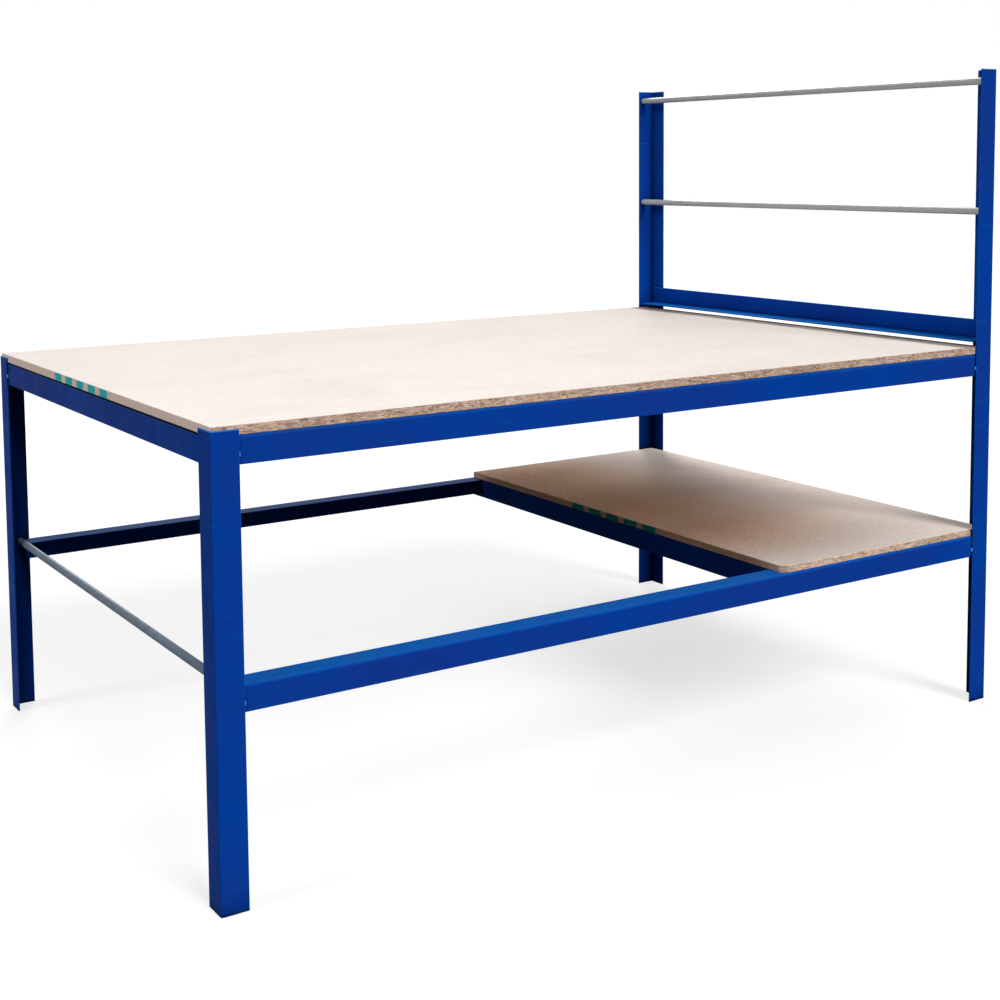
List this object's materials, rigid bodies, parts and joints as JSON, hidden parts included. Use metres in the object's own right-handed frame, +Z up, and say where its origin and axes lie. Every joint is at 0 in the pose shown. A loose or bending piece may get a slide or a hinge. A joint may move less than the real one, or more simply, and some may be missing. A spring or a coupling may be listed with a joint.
{
  "type": "assembly table",
  "caption": "Angle-steel assembly table with a chipboard worktop, a lower half shelf, a raised end frame and loose zinc tubes that turn on pegs.",
  "frame": {"origin": "on the floor, under the middle of the table", "axes": "+X along the table's length towards the end with the tall posts, +Y from the front long side to the rear, +Z up"},
  "size_m": [2, 1.3, 1.528],
  "materials": {
    "blue_paint": "satin blue paint, worn at the edges",
    "weld_paint": "thin worn blue paint over weld metal",
    "worktop_chipboard": "pale faced chipboard, raw edges",
    "shelf_chipboard": "used chipboard, raw edges",
    "zinc_tube": "dull zinc coating",
    "screw_zinc": "zinc plated"
  },
  "bodies": {
    "frame": {"post_front_left": "blue_paint", "post_rear_left": "blue_paint", "post_front_right": "blue_paint", "post_rear_right": "blue_paint", "top_beam_front": "blue_paint", "top_beam_rear": "blue_paint", "top_beam_left": "blue_paint", "top_beam_right": "blue_paint", "lower_beam_front": "blue_paint", "lower_beam_rear": "blue_paint", "lower_beam_right": "blue_paint", "shelf_cross_beam": "blue_paint", "end_frame_beam": "blue_paint", "worktop_board": "worktop_chipboard", "shelf_board": "shelf_chipboard", "top_roll_tube_pegs": "blue_paint", "middle_roll_tube_pegs": "blue_paint", "left_foot_tube_pegs": "blue_paint", "worktop_screws": "screw_zinc", "shelf_screws": "screw_zinc", "weld_beads": "weld_paint"},
    "top_tube": {"top_roll_tube": "zinc_tube"},
    "middle_tube": {"middle_roll_tube": "zinc_tube"},
    "foot_tube": {"left_foot_tube": "zinc_tube"}
  },
  "joints": [
    {"name": "top_tube_spin", "type": "hinge", "parent": "frame", "child": "top_tube", "pos_m": [0.961, 0, 1.5], "axis": [0, 1, 0], "continuous": true},
    {"name": "middle_tube_spin", "type": "hinge", "parent": "frame", "child": "middle_tube", "pos_m": [0.961, 0, 1.193], "axis": [0, 1, 0], "continuous": true},
    {"name": "foot_tube_spin", "type": "hinge", "parent": "frame", "child": "foot_tube", "pos_m": [-0.968, 0, 0.406], "axis": [0, 1, 0], "continuous": true}
  ]
}
